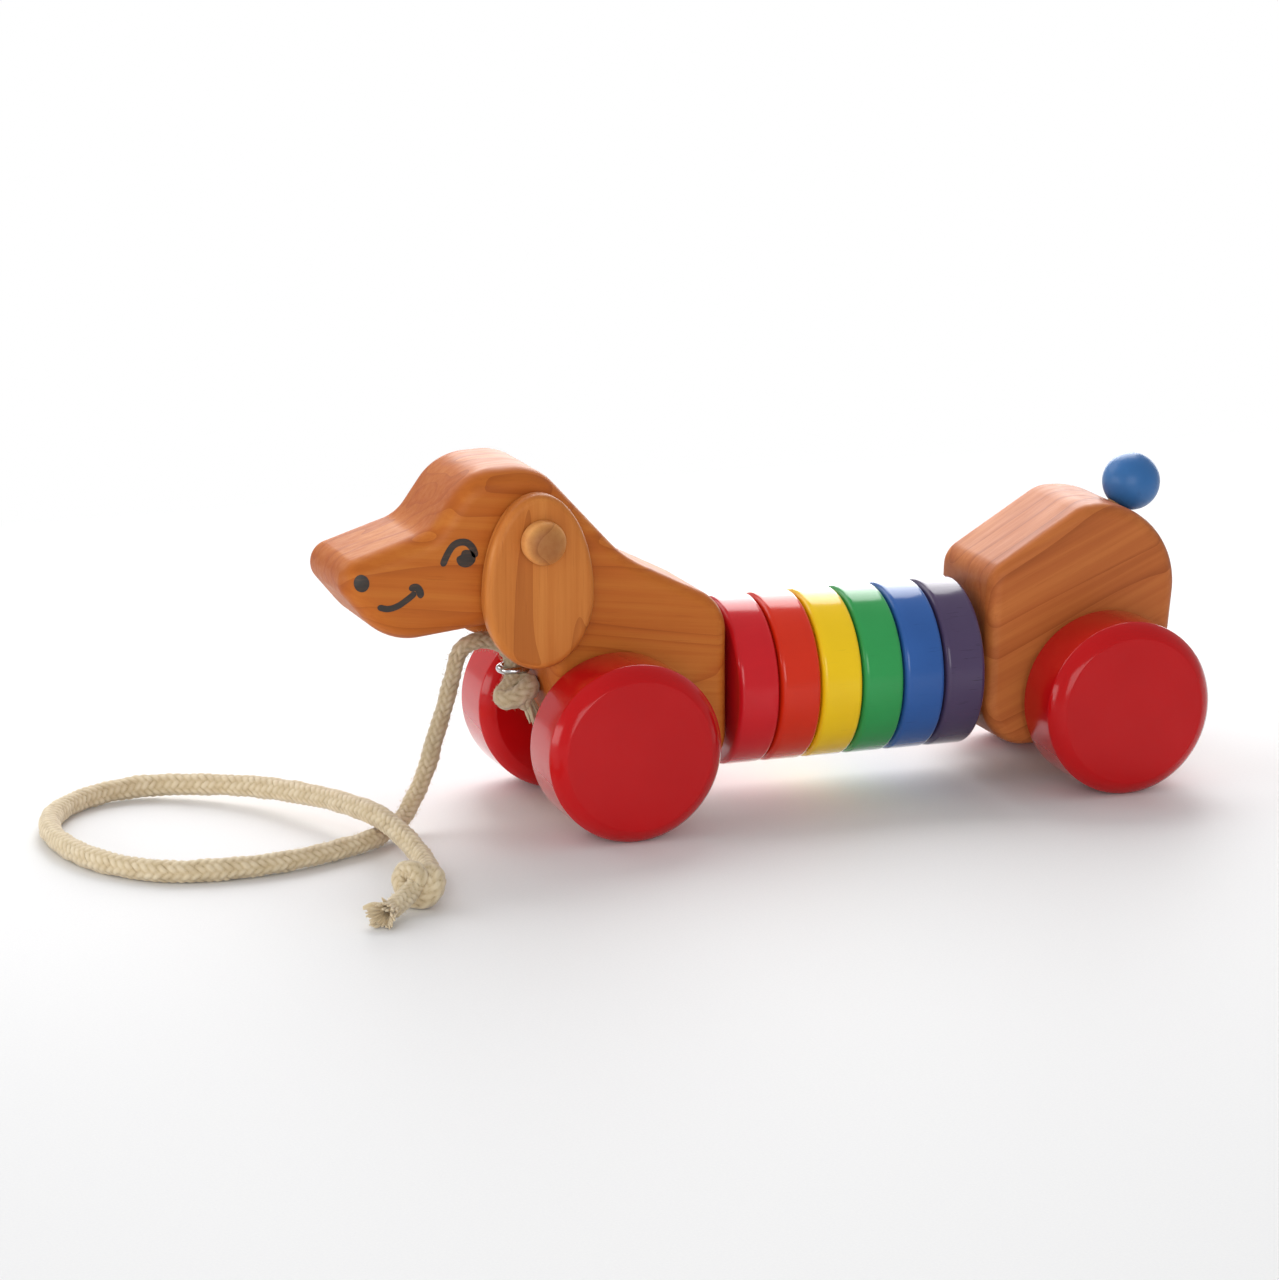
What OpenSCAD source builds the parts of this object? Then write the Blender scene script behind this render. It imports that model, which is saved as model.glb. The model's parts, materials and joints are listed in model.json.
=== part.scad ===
// Wooden dachshund pull toy. Two cherry profile blocks ride on glued wheel sets and are
// joined by a spine dowel that carries loose painted discs. The ears swing on pegs and a
// cotton pull cord is knotted through a screw eye in the chest.
// Millimetres, Z up, nose toward -X, wheels on Z = 0.

/* [Body] */
// Thickness of both body blocks across the toy
block_t = 38; // [32:1:46]
// Radius of the rounded-over block edges
block_round = 4.5; // [2:0.25:6]
// Distance from the front axle forward to the tip of the nose
nose_reach = 77.5; // [64:0.5:93]
// Height of the flat underside of both blocks above the floor
belly_z = 11; // [9:0.5:14]

/* [Wheels] */
// Wheel diameter
wheel_d = 50.8; // [42:0.2:62]
// Wheel thickness
wheel_t = 24.5; // [20:0.5:30]
// Width of the rounded shoulder round the flat face of a wheel
wheel_ease = 4.1; // [3:0.1:6]
// Depth of the rounded shoulder between face and tread
wheel_shoulder = 4; // [3:0.25:5]
// Axle dowel diameter
axle_d = 9.5; // [8:0.5:12]
// Depth of the blind axle hole in each wheel
axle_seat = 16; // [12:0.5:18]

/* [Discs] */
// Diameter of the painted body discs
disc_d = 49; // [40:0.5:52]
// Thickness of one disc
disc_t = 12.2; // [10:0.1:15]
// Gap between neighbouring discs
disc_gap = 0.5; // [0.3:0.1:1]
// Room for the row of discs to slide between the two blocks
row_play = 4; // [2:0.5:10]
// Height of the spine dowel above the floor
spine_z = 34.4; // [32:0.1:40]
// Spine dowel diameter
spine_d = 12.7; // [10:0.1:16]
// Length of the spine glued into each block
spine_seat = 15; // [10:0.5:20]

/* [Ears] */
// Ear width
ear_w = 32; // [26:0.5:34]
// Ear thickness
ear_t = 7; // [5:0.25:9]
// Ear height from its widest line up to its top
ear_up = 28.8; // [26:0.2:32]
// Gap that the tip of a swinging ear leaves to the front wheel
ear_clear = 1.33; // [0.8:0.01:6]
// Diameter of the peg head that holds an ear
peg_head_d = 12.4; // [10:0.2:14]
// Diameter of the peg shaft an ear swings on
peg_d = 6.3; // [5:0.1:8]

/* [Tail and cord] */
// Tail ball diameter
ball_d = 17; // [14:0.5:20]
// Direction of the tail from the middle of the rump's round, above level
tail_angle = 55.8; // [48:0.1:62]
// Pull cord diameter
cord_d = 6; // [5:0.25:6.25]
// Wire diameter of the screw eye
eye_wire = 2.3; // [2:0.1:2.8]
// Inside diameter of the screw eye's ring
eye_hole = 5.2; // [5.2:0.1:6]

/* [Hidden] */
$fn = 64;

// Clearances: glued holes, running fits and the side play of the wheels and ears
glue_gap = 0.1;
run_gap = 0.4;
side_gap = 0.5;

// Colours as in the photograph
cherry = "#b4682f";
pale_cherry = "#bf7a3c";
wheel_red = "#ad2226";
cotton = "#cbbfa2";
dowel_wood = "#c79a66";

// Reach of each block from its axle to its face beside the discs
front_back = 35.6;
rear_front = -35.3;

// The discs lie in a row between those faces, so the row sets the wheelbase
disc_count = 6;
disc_pitch = disc_t + disc_gap;
disc_row = disc_count * disc_pitch - disc_gap;
wheelbase = front_back + disc_row + row_play - rear_front;

// Side profile of the rear block: corners [x from the rear axle, z, corner radius]
rump_round = 25;
rear_corners = [
    [-36.3, belly_z, 14],
    [20.2, belly_z, 12],
    [27.6, 81.4, rump_round],
    [-4.7, 80.8, 10],
    [-34.1, 63.3, 8]
];
rump_c = corner_centre(rear_corners[1], rear_corners[2], rear_corners[3], rump_round);

// The toy is centred on X = 0 from the nose to the back of the tail ball, a bead on a peg
// whose bore has its rim just clear of the rump
ball_r = ball_d / 2;
tail_peg_d = 6;
bead_gap = 0.2;
bead_rim = sqrt(pow(ball_r, 2) - pow(tail_peg_d / 2 + glue_gap, 2));
tail_out = rump_round + bead_rim + bead_gap;
tail_reach = rump_c[0] + tail_out * cos(tail_angle) + ball_r;
front_x = nose_reach - (nose_reach + wheelbase + tail_reach) / 2;
rear_x = front_x + wheelbase;
wheel_r = wheel_d / 2;
wheel_flat_r = wheel_r - wheel_ease;
wheel_swell = 0.5;
axle_z = wheel_r;
wheel_in = block_t / 2 + side_gap;
axle_len = 2 * (wheel_in + axle_seat);

// Side profile of the front block: corners [x from the front axle, z, corner radius]
throat = [-19, 61.3];
chest_foot_x = -14.4;
front_corners = [
    [-nose_reach - 4.7, 78.1, 6.3],
    [-nose_reach + 13.1, 56.4, 18],
    [throat[0], throat[1], 8],
    [chest_foot_x, belly_z, 26],
    [front_back, belly_z, 12],
    [front_back, 60.8, 13],
    [5.2, 76.2, 35],
    [-20.3, 104.3, 16],
    [-40.5, 103.8, 17],
    [-52.3, 87.4, 12]
];

// Length of the tail peg in the rump and in the ball
tail_seat = 14;
tail_peg_up = 8;

// Ear pivot from the front axle, and the ear's widest line below it
ear_pivot = [-22.7, 84.8];
ear_drop = 15.8;
ear_round = 2.4;
ear_in = block_t / 2 + side_gap;
peg_seat = 12;
peg_head_t = 6;
peg_rim = 2.4;
peg_swell = 0.95;

// The swinging ear's tip just passes the front wheel, which sets how far down it reaches
pivot_to_axle = norm(ear_pivot - [0, axle_z]);
ear_down = pivot_to_axle - wheel_r - ear_clear - ear_drop;

// Screw eye: its ring stands just clear of the sloping chest, its shank goes into it
eye_z = 42.85;
eye_gap = 0.41;
eye_mean_r = (eye_hole + eye_wire) / 2;
chest_x = throat[0] + (chest_foot_x - throat[0]) * (throat[1] - eye_z) / (throat[1] - belly_z);
eye_at = [chest_x - eye_gap - eye_mean_r - eye_wire / 2, 0, eye_z];
shank_end = -5;

// Discs start just behind the front block
disc_play = 1.5;
disc_x = front_x + front_back + disc_play;
disc_round = 1.6;
disc_swell = 0.46;
spine_from = front_x + front_back - spine_seat;
spine_to = rear_x + rear_front + spine_seat;

// Free run of the pull cord from the eye to the end knot: [x from the front axle, y, z]
cord_points = [
    [-22.62, 0, 40.75], [-22.72, 0, 44.45], [-23.9, 0, 47.6], [-26.6, 0, 50.4],
    [-30.6, 0, 51.6], [-34.1, 0, 51.5], [-37.3, 0, 50.1], [-39.3, 0, 46.6], [-40.9, 0, 40.9],
    [-43.4, -0.2, 32.5], [-46.5, -1, 24.2], [-49.6, -2.7, 16.2], [-54.2, -6, 9.5],
    [-59.4, -11, 5], [-67, -18.1, 3.3], [-76.1, -25.4, 3.1], [-95.6, -34.5, 3.1],
    [-113.5, -37.6, 3.1], [-132.6, -34.6, 3.1], [-145.7, -21.2, 3.1], [-152.4, -2.2, 3.1],
    [-153.2, 18.4, 3.1], [-147, 36.4, 3.1], [-134.2, 49.6, 3.2], [-118.5, 53.5, 3.8],
    [-102.4, 45.9, 4.8], [-88.3, 31.4, 6.2], [-77.6, 9.2, 8], [-72.8, -7.5, 9.1],
    [-69.2, -22.6, 9.3], [-66.5, -36.1, 7], [-65.5, -48.3, 4.4], [-66.8, -59.7, 3.2],
    [-69.7, -69.3, 3.9], [-74, -76.6, 6.2]
];
cord_sides = 10;
cord_steps = 2;
neck_d = 4.6;
neck_points = 12;
anchor_at = [-23.92, -4, 37.85];
anchor_tip = [-19.1, -7.6, 30.3];
end_at = [-75.9, -79.6, 6.75];
fray_tip = [-92.4, -100.1, 3.6];
knot_r = 3.1;
knot_major = 3.5;

function unit(v) = v / norm(v);
function cross2(a, b) = a[0] * b[1] - a[1] * b[0];
function xz(c) = [c[0], c[1]];

// Half of the angle between the two edges that meet at corner b
function half_angle(a, b, c) = acos(unit(xz(a) - xz(b)) * unit(xz(c) - xz(b))) / 2;

// Centre of the arc of radius r that rounds corner b
function corner_centre(a, b, c, r) =
    let (u = unit(xz(a) - xz(b)), v = unit(xz(c) - xz(b)))
    xz(b) + unit(u + v) * r / sin(half_angle(a, b, c));

// Points along the arc that rounds corner b, about one every 9 degrees
function corner_arc(a, b, c) =
    let (
        r = b[2],
        m = corner_centre(a, b, c, r),
        u = unit(xz(a) - xz(b)),
        start = xz(b) + u * r / tan(half_angle(a, b, c)) - m,
        side = cross2(xz(b) - xz(a), xz(c) - xz(b)) > 0 ? 1 : -1,
        sweep = side * (180 - 2 * half_angle(a, b, c)),
        steps = max(2, ceil(abs(sweep) / 9)),
        first = atan2(start[1], start[0])
    )
    [for (k = [0:steps]) m + r * [cos(first + sweep * k / steps), sin(first + sweep * k / steps)]];

// Closed outline through rounded corners
function rounded(corners) =
    let (n = len(corners))
    [for (i = [0:n - 1])
        each corner_arc(corners[(i + n - 1) % n], corners[i], corners[(i + 1) % n])];

// Egg outline about its widest line
function egg(w, up, down) =
    [for (k = [0:47]) [w / 2 * cos(k * 7.5), (k < 24 ? up : down) * sin(k * 7.5)]];

// Outline moved inward by d, with every edge kept parallel to itself
function inset(pts, d) =
    let (n = len(pts))
    [for (i = [0:n - 1])
        let (
            e = unit(pts[i] - pts[(i + n - 1) % n]),
            f = unit(pts[(i + 1) % n] - pts[i]),
            p = [-e[1], e[0]],
            q = [-f[1], f[0]]
        )
        pts[i] + d * (p + q) / (1 + p * q)];

// Does point p lie in the anticlockwise triangle a, b, c?
function in_triangle(p, a, b, c) =
    cross2(b - a, p - a) >= 0 && cross2(c - b, p - b) >= 0 && cross2(a - c, p - c) >= 0;

// Can corner b be cut off the outline without taking in another of its points?
function is_ear(pts, left, a, b, c) =
    cross2(pts[b] - pts[a], pts[c] - pts[b]) > 0
    && len([for (i = left)
        if (i != a && i != b && i != c && in_triangle(pts[i], pts[a], pts[b], pts[c])) i]) == 0;

// Triangles that fill an outline, cut off it one corner at a time
function ears(pts, left, k = 0, done = []) =
    let (n = len(left), a = left[k % n], b = left[(k + 1) % n], c = left[(k + 2) % n])
    n == 3 ? concat(done, [left])
    : is_ear(pts, left, a, b, c)
        ? ears(pts, [for (i = left) if (i != b) i], k + 1, concat(done, [[a, b, c]]))
        : ears(pts, left, k + 1, done);

// Slab of thickness t across Y with its edges rounded over by radius r.
// The outline runs anticlockwise seen from -Y.
module rounded_slab(outline, t, r) {
    steps = 4;
    n = len(outline);
    levels = concat(
        [for (k = [0:steps]) [-t / 2 + r * (1 - sin(90 * (1 - k / steps))),
            r * (1 - cos(90 * (1 - k / steps)))]],
        [for (k = [0:steps]) [t / 2 - r * (1 - sin(90 * k / steps)),
            r * (1 - cos(90 * k / steps))]]
    );
    top = len(levels) - 1;
    points = [for (lv = levels) each [for (p = inset(outline, lv[1])) [p[0], lv[0], p[1]]]];
    sides = [for (k = [0:top - 1]) each [for (i = [0:n - 1])
        [k * n + i, k * n + (i + 1) % n, (k + 1) * n + (i + 1) % n, (k + 1) * n + i]]];
    cap = ears(inset(outline, r), [for (i = [0:n - 1]) i]);
    near_face = [for (c = cap) [c[2], c[1], c[0]]];
    far_face = [for (c = cap) [for (i = c) top * n + i]];
    polyhedron(points, concat(near_face, sides, far_face), convexity = 6);
}

// Cylinder along Y centred on the point
module across(at, d, length) {
    translate([at[0], 0, at[1]])
        rotate([90, 0, 0])
            cylinder(h = length, d = d, center = true);
}

// Cylinder along X from x0 to x1
module along(x0, x1, z, d) {
    translate([x0, 0, z])
        rotate([0, 90, 0])
            cylinder(h = x1 - x0, d = d);
}

// Smooth curve through the points: cubic steps between neighbours
function curve(pts, steps) =
    let (n = len(pts))
    concat([for (i = [0:n - 2])
        let (
            a = pts[max(i - 1, 0)], b = pts[i], c = pts[i + 1], d = pts[min(i + 2, n - 1)]
        )
        each [for (k = [0:steps - 1])
            let (t = k / steps)
            b + t * (c - a) / 2 + t * t * (2 * a - 5 * b + 4 * c - d) / 2
                + t * t * t * (3 * b - a - 3 * c + d) / 2]],
        [pts[n - 1]]);

// Cotton tube swept along a curve with one radius per point
module tube(path, radii, sides) {
    n = len(path);
    dirs = [for (i = [0:n - 1]) unit(path[min(i + 1, n - 1)] - path[max(i - 1, 0)])];
    first_side = unit(cross(dirs[0], abs(dirs[0][2]) > 0.8 ? [0, 1, 0] : [0, 0, 1]));
    points = [for (i = [0:n - 1])
        let (u = carry(dirs, first_side, i), v = cross(dirs[i], u))
        each [for (s = [0:sides - 1])
            path[i] + radii[i] * (u * cos(360 * s / sides) + v * sin(360 * s / sides))]];
    walls = [for (i = [0:n - 2]) each [for (s = [0:sides - 1])
        [i * sides + s, (i + 1) * sides + s,
            (i + 1) * sides + (s + 1) % sides, i * sides + (s + 1) % sides]]];
    start_cap = [for (s = [0:sides - 1]) s];
    end_cap = [for (s = [sides - 1:-1:0]) (n - 1) * sides + s];
    polyhedron(points, concat([start_cap], walls, [end_cap]), convexity = 10);
}

// Side direction at ring i, carried along the curve without twist
function carry(dirs, u, i, k = 0) =
    k == i ? unit(u - dirs[i] * (u * dirs[i]))
        : carry(dirs, unit(u - dirs[k + 1] * (u * dirs[k + 1])), i, k + 1);

// Arc points from a to b that bulge by the given height to the right of the way
function bulge(a, b, h, steps) =
    let (
        chord = norm(b - a),
        r = chord * chord / (8 * h) + h / 2,
        d = unit(b - a),
        m = (a + b) / 2 + [-d[1], d[0]] * (r - h),
        s = a - m,
        from = atan2(s[1], s[0]),
        turn = 2 * asin(chord / (2 * r))
    )
    [for (k = [0:steps]) m + r * [cos(from + turn * k / steps), sin(from + turn * k / steps)]];

module front_block() {
    color(cherry)
        difference() {
            translate([front_x, 0, 0])
                rounded_slab(rounded(front_corners), block_t, block_round);
            across([front_x, axle_z], axle_d + 2 * run_gap, block_t + 2);
            along(spine_from - 0.5, front_x + front_back + 1, spine_z, spine_d + 2 * glue_gap);
            for (side = [-1, 1])
                translate([0, side * (block_t / 2 - peg_seat / 2), 0])
                    across([front_x + ear_pivot[0], ear_pivot[1]],
                        peg_d + 2 * glue_gap, peg_seat + 1);
            along(front_x + eye_at[0], front_x + shank_end + 0.5, eye_at[2],
                eye_wire + 2 * glue_gap);
        }
}

module rear_block() {
    color(cherry)
        difference() {
            translate([rear_x, 0, 0])
                rounded_slab(rounded(rear_corners), block_t, block_round);
            across([rear_x, axle_z], axle_d + 2 * run_gap, block_t + 2);
            along(rear_x - 45, spine_to + 0.5, spine_z, spine_d + 2 * glue_gap);
            tail_place()
                translate([0, 0, rump_round - tail_seat - 0.5])
                    cylinder(h = tail_seat + 2, d = tail_peg_d + 2 * glue_gap);
        }
}

// The tail's line: Z runs out of the rump from the middle of its round
module tail_place() {
    translate([rear_x + rump_c[0], 0, rump_c[1]])
        rotate([0, 90 - tail_angle, 0])
            children();
}

module tail_ball() {
    color("#3f6fae")
        difference() {
            tail_place()
                translate([0, 0, tail_out])
                    sphere(d = ball_d);
            tail_place()
                cylinder(h = rump_round + tail_peg_up + 0.5, d = tail_peg_d + 2 * glue_gap);
        }
}

module tail_peg() {
    color(dowel_wood)
        tail_place()
            translate([0, 0, rump_round - tail_seat])
                cylinder(h = tail_seat + tail_peg_up, d = tail_peg_d);
}

module spine_dowel() {
    color(dowel_wood)
        along(spine_from, spine_to, spine_z, spine_d);
}

module axle(x) {
    color(dowel_wood)
        across([x, axle_z], axle_d, axle_len);
}

module front_axle() {
    axle(front_x);
}

module rear_axle() {
    axle(rear_x);
}

// Wheel on the side given by -1 (left, toward the camera) or 1
module wheel(x, side) {
    outer = concat(
        [[0, 0]],
        bulge([wheel_flat_r, 0], [wheel_r, wheel_shoulder], wheel_swell, 5),
        bulge([wheel_r, wheel_t - wheel_shoulder], [wheel_flat_r, wheel_t], wheel_swell, 5),
        [[0, wheel_t]]
    );
    color(wheel_red)
        translate([x, side * wheel_in, axle_z])
            rotate([-90 * side, 0, 0])
                difference() {
                    rotate_extrude()
                        polygon(outer);
                    translate([0, 0, -1])
                        cylinder(h = axle_seat + 1.5, d = axle_d + 2 * glue_gap);
                }
}

module front_left_wheel() {
    wheel(front_x, -1);
}

module front_right_wheel() {
    wheel(front_x, 1);
}

module rear_left_wheel() {
    wheel(rear_x, -1);
}

module rear_right_wheel() {
    wheel(rear_x, 1);
}

// Disc number i from the front, loose on the spine dowel
module disc(i, paint) {
    r = disc_d / 2;
    e = disc_round;
    hole = spine_d / 2 + run_gap;
    section = concat(
        [[hole, 0]],
        bulge([r - e, 0], [r, e], disc_swell, 4),
        bulge([r, disc_t - e], [r - e, disc_t], disc_swell, 4),
        [[hole, disc_t]]
    );
    color(paint)
        translate([disc_x + i * disc_pitch, 0, spine_z])
            rotate([0, 90, 0])
                rotate_extrude()
                    polygon(section);
}

module disc_red() {
    disc(0, "#b42028");
}

module disc_orange() {
    disc(1, "#d2432a");
}

module disc_yellow() {
    disc(2, "#e8c52c");
}

module disc_green() {
    disc(3, "#3f8f4f");
}

module disc_blue() {
    disc(4, "#2f5fa6");
}

module disc_purple() {
    disc(5, "#56456e");
}

module ear(side) {
    color(pale_cherry)
        difference() {
            translate([front_x + ear_pivot[0], side * (ear_in + ear_t / 2), ear_pivot[1] - ear_drop])
                rounded_slab(egg(ear_w, ear_up, ear_down), ear_t, ear_round);
            translate([0, side * (ear_in + ear_t / 2), 0])
                across([front_x + ear_pivot[0], ear_pivot[1]], peg_d + 2 * run_gap, ear_t + 2);
        }
}

module left_ear() {
    ear(-1);
}

module right_ear() {
    ear(1);
}

// Ear peg: shaft glued in the block, domed head outside the ear
module ear_peg(side) {
    head_r = peg_head_d / 2;
    shaft_r = peg_d / 2;
    head_from = ear_t + 2 * side_gap;
    section = concat(
        [[0, -peg_seat], [shaft_r, -peg_seat], [shaft_r, head_from], [head_r, head_from]],
        bulge([head_r, head_from + peg_rim], [0, head_from + peg_head_t], peg_swell, 9)
    );
    color(dowel_wood)
        translate([front_x + ear_pivot[0], side * block_t / 2, ear_pivot[1]])
            rotate([-90 * side, 0, 0])
                rotate_extrude()
                    polygon(section);
}

module left_ear_peg() {
    ear_peg(-1);
}

module right_ear_peg() {
    ear_peg(1);
}

module screw_eye() {
    color("#b9bcc0")
        union() {
            translate([front_x + eye_at[0], eye_at[1], eye_at[2]])
                rotate_extrude()
                    translate([eye_mean_r, 0])
                        circle(d = eye_wire, $fn = 32);
            along(front_x + eye_at[0] + eye_mean_r, front_x + shank_end, eye_at[2], eye_wire);
        }
}

module pull_cord() {
    path = curve([for (p = cord_points) p + [front_x, 0, 0]], cord_steps);
    swell = neck_points * cord_steps;
    radii = [for (i = [0:len(path) - 1])
        i < swell ? neck_d / 2 + (cord_d - neck_d) / 2 * pow(i / swell, 2) : cord_d / 2];
    color(cotton)
        tube(path, radii, cord_sides);
}

// Overhand knot as a ring of cord drawn tight round its own core
module knot(at, turn) {
    color(cotton)
        translate([front_x + at[0], at[1], at[2]])
            rotate(turn)
                union() {
                    rotate_extrude()
                        translate([knot_major, 0])
                            circle(r = knot_r, $fn = 32);
                    sphere(r = knot_r + 0.6, $fn = 32);
                }
}

module anchor_knot() {
    knot(anchor_at, [0, 0, 0]);
}

module end_knot() {
    knot(end_at, [90, 0, -32]);
}

// Short loose end that opens from one diameter to another
module loose_end(from, to, d0, d1) {
    way = to - from;
    color(cotton)
        translate(from + [front_x, 0, 0])
            rotate([0, acos(way[2] / norm(way)), atan2(way[1], way[0])])
                cylinder(h = norm(way), d1 = d0, d2 = d1, $fn = 32);
}

module anchor_tail() {
    loose_end(anchor_at + [0.6, -0.6, -2.4], anchor_tip, 4.6, 3.4);
}

module frayed_end() {
    loose_end(end_at + [-1.6, -2.6, -1.2], fray_tip, 5.2, 6.6);
}

front_block();
rear_block();
spine_dowel();
front_axle();
rear_axle();
front_left_wheel();
front_right_wheel();
rear_left_wheel();
rear_right_wheel();
disc_red();
disc_orange();
disc_yellow();
disc_green();
disc_blue();
disc_purple();
left_ear();
right_ear();
left_ear_peg();
right_ear_peg();
tail_ball();
tail_peg();
screw_eye();
pull_cord();
anchor_knot();
anchor_tail();
end_knot();
frayed_end();
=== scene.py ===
"""Wooden dachshund pull toy: finishes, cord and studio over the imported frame."""

import json
import math

import bpy
import numpy as np
from mathutils import Matrix, Vector
from mathutils.geometry import tessellate_polygon


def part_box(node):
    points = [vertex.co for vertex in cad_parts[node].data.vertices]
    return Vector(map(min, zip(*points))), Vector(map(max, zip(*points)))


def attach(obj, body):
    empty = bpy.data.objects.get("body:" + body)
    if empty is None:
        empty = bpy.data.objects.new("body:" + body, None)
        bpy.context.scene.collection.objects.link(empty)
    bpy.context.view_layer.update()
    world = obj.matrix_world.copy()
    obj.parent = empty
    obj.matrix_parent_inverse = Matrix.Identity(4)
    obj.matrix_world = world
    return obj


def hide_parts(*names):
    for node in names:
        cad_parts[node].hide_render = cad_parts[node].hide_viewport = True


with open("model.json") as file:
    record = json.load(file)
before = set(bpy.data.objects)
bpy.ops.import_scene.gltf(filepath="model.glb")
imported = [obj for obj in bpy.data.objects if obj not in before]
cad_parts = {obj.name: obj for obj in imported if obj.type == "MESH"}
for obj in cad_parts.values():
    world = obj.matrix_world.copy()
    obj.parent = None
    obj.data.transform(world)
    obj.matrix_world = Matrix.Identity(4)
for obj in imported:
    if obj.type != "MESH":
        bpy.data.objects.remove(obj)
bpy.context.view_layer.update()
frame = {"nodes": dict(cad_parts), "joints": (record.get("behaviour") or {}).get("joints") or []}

# Places and sizes in metres; the frame gives where the axles, ears and discs are.
MM = 0.001
JOINT_AT = {j["name"]: Vector(j["pos_m"]) for j in frame["joints"]}
FRONT = JOINT_AT["front_wheels_roll"]
REAR = JOINT_AT["rear_wheels_roll"]
EAR = JOINT_AT["left_ear_swing"]
BLOCK_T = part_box("front_block")[1].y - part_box("front_block")[0].y
EDGE_ROUND = 4 * MM
HEAD_ROUND = 6 * MM

# Camera found from the wheel and disc rims in the photograph.
CAMERA_AT = (-0.50121, -1.30909, 0.3725)
CAMERA_RIGHT = (0.941636, -0.336604, -0.003719)
CAMERA_UP = (0.079973, 0.212969, 0.973782)
CAMERA_LENS = 140.625

# Side profiles: corners [x from the axle, z, corner radius] in millimetres.
FRONT_CORNERS = [
    (-82.2, 78.1, 6.3), (-64.4, 56.4, 18), (-19, 61.3, 8), (-14.4, 11, 26), (35.6, 11, 12),
    (35.6, 60.8, 13), (5.2, 76.2, 35), (-20.3, 104.3, 16), (-40.5, 103.8, 17), (-52.3, 87.4, 12),
]
REAR_CORNERS = [
    (-36.3, 11, 14), (20.2, 11, 12), (27.6, 81.4, 25), (-4.7, 80.8, 10), (-34.1, 63.3, 8),
]

# Way from the rump out to the tail ball, in degrees above level.
TAIL_LEAN = 55.8

# Free run of the cord, the same points as the CAD solid: [x from the front axle, y, z] in mm.
CORD_POINTS = [
    (-22.62, 0, 40.75), (-22.72, 0, 44.45), (-23.9, 0, 47.6), (-26.6, 0, 50.4),
    (-30.6, 0, 51.6), (-34.1, 0, 51.5), (-37.3, 0, 50.1), (-39.3, 0, 46.6), (-40.9, 0, 40.9),
    (-43.4, -0.2, 32.5), (-46.5, -1, 24.2), (-49.6, -2.7, 16.2), (-54.2, -6, 9.5),
    (-59.4, -11, 5), (-67, -18.1, 3.3), (-76.1, -25.4, 3.1), (-95.6, -34.5, 3.1),
    (-113.5, -37.6, 3.1), (-132.6, -34.6, 3.1), (-145.7, -21.2, 3.1), (-152.4, -2.2, 3.1),
    (-153.2, 18.4, 3.1), (-147, 36.4, 3.1), (-134.2, 49.6, 3.2), (-118.5, 53.5, 3.8),
    (-102.4, 45.9, 4.8), (-88.3, 31.4, 6.2), (-77.6, 9.2, 8), (-72.8, -7.5, 9.1),
    (-69.2, -22.6, 9.3), (-66.5, -36.1, 7), (-65.5, -48.3, 4.4), (-66.8, -59.7, 3.2),
    (-69.7, -69.3, 3.9), (-74, -76.6, 6.2),
]
CORD_D = 6 * MM
# The cord is thinner at the eye and swells to its full size over its first points.
NECK_D = 4.6 * MM
NECK_POINTS = 12
# Hairs on the cord and on its two knots.
FUZZ_COUNTS = [4200, 700, 700]
COTTON_SEED = 7


# Outlines, curves and paths


def from_front(points):
    """Millimetre points measured from the front axle, as frame metres."""
    return np.array(points, float) * MM + np.array([FRONT.x, 0, 0])


def unit(v):
    return v / np.linalg.norm(v)


def corner_arc(a, b, c, step):
    """Points along the arc of radius b[2] that rounds corner b between a and c."""
    a2, b2, c2 = (np.array(p[:2], float) for p in (a, b, c))
    u, v = unit(a2 - b2), unit(c2 - b2)
    half = math.acos(float(u @ v)) / 2
    middle = b2 + unit(u + v) * b[2] / math.sin(half)
    start = b2 + u * b[2] / math.tan(half) - middle
    way_in, way_out = b2 - a2, c2 - b2
    side = 1 if way_in[0] * way_out[1] - way_in[1] * way_out[0] > 0 else -1
    sweep = side * (math.pi - 2 * half)
    steps = max(3, math.ceil(abs(sweep) / math.radians(step)))
    angles = math.atan2(start[1], start[0]) + sweep * np.arange(steps + 1) / steps
    return middle + b[2] * np.stack([np.cos(angles), np.sin(angles)], 1)


def rounded_outline(corners, origin_x, step=2.5):
    """Closed outline through rounded corners, in metres."""
    n = len(corners)
    arcs = [corner_arc(corners[i - 1], corners[i], corners[(i + 1) % n], step) for i in range(n)]
    return np.concatenate(arcs) * MM + np.array([origin_x, 0])


def outward(outline):
    """Outward normal at each point of an anticlockwise outline."""
    ahead = np.roll(outline, -1, 0) - outline
    ahead /= np.linalg.norm(ahead, axis=1, keepdims=True)
    mean = ahead + np.roll(ahead, 1, 0)
    mean /= np.linalg.norm(mean, axis=1, keepdims=True)
    return np.stack([mean[:, 1], -mean[:, 0]], 1)


def inset(outline, depth):
    """Outline moved inward by depth, with every edge kept parallel to itself."""
    ahead = np.roll(outline, -1, 0) - outline
    ahead /= np.linalg.norm(ahead, axis=1, keepdims=True)
    q = np.stack([-ahead[:, 1], ahead[:, 0]], 1)
    p = np.roll(q, 1, 0)
    return outline + depth * (p + q) / (1 + (p * q).sum(1, keepdims=True))


def bulge(a, b, height, steps=12):
    """Arc points from a to b that bulge to the right of the way by height."""
    a, b = np.array(a, float), np.array(b, float)
    chord = np.linalg.norm(b - a)
    radius = chord * chord / (8 * height) + height / 2
    way = unit(b - a)
    middle = (a + b) / 2 + np.array([-way[1], way[0]]) * (radius - height)
    first = math.atan2(*(a - middle)[::-1])
    turn = 2 * math.asin(chord / (2 * radius))
    angles = first + turn * np.arange(steps + 1) / steps
    return [tuple(middle + radius * np.array([math.cos(t), math.sin(t)])) for t in angles]


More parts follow.
